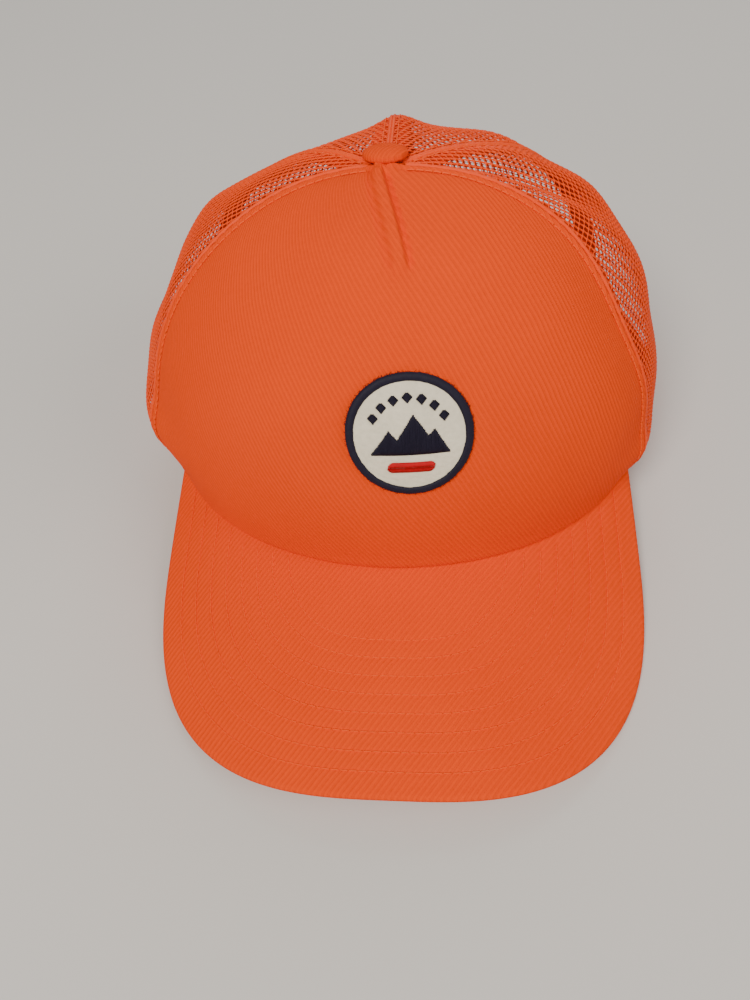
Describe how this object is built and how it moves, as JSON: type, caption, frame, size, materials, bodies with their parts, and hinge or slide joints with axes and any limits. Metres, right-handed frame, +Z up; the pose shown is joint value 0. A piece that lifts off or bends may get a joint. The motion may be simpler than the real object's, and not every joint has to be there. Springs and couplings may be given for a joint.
{
  "type": "trucker cap",
  "caption": "Trucker cap with a foam-backed front panel, netting at the sides and back, a stiff curved visor, a top button, a round patch and a snap strap.",
  "frame": {"origin": "centre of the head opening, on the plane that the cap rests on", "axes": "+Z up through the crown, -Y forwards along the visor, +X to the wearer's left"},
  "size_m": [0.1953, 0.2549, 0.1285],
  "materials": {
    "twill_orange": "woven twill",
    "mesh_orange": "knitted netting",
    "binding_orange": "woven tape",
    "foam_backing": "knit-faced foam",
    "sweatband_fabric": "brushed cotton",
    "seam_tape": "woven tape",
    "visor_board": "matte",
    "button_metal": "plain",
    "patch_felt": "felt",
    "patch_navy": "embroidery thread",
    "patch_red": "embroidery thread",
    "strap_plastic": "satin moulded",
    "label_white": "satin ribbon"
  },
  "bodies": {
    "cap": {"front_panel": "twill_orange", "front_panel_backing": "foam_backing", "side_mesh_left": "mesh_orange", "side_mesh_right": "mesh_orange", "back_mesh_left": "mesh_orange", "back_mesh_right": "mesh_orange", "arch_binding": "binding_orange", "hem_binding_left": "binding_orange", "hem_binding_right": "binding_orange", "sweatband": "sweatband_fabric", "seam_tape_front_left": "seam_tape", "seam_tape_front_right": "seam_tape", "seam_tape_side_left": "seam_tape", "seam_tape_side_right": "seam_tape", "seam_tape_back": "seam_tape", "dart_tape": "seam_tape", "visor_top_cover": "twill_orange", "visor_board": "visor_board", "visor_under_cover": "twill_orange", "button_cover": "twill_orange", "button_rivet": "button_metal", "patch_base": "patch_felt", "patch_border": "patch_navy", "patch_motif": "patch_navy", "patch_accent": "patch_red", "hole_strap_tab": "strap_plastic", "peg_strap_tab": "strap_plastic", "size_label": "label_white"},
    "hole_strap": {"hole_strap": "strap_plastic"},
    "peg_strap": {"peg_strap": "strap_plastic"}
  },
  "joints": [
    {"name": "hole_strap_flex", "type": "hinge", "parent": "cap", "child": "hole_strap", "pos_m": [0.045, 0.0772, 0.011], "axis": [0, 0, -1], "range_deg": [0, 45], "stiffness_Nm_per_rad": 0.02},
    {"name": "peg_strap_flex", "type": "hinge", "parent": "cap", "child": "peg_strap", "pos_m": [-0.045, 0.0772, 0.011], "axis": [0, 0, -1], "range_deg": [0, 45], "stiffness_Nm_per_rad": 0.02}
  ]
}
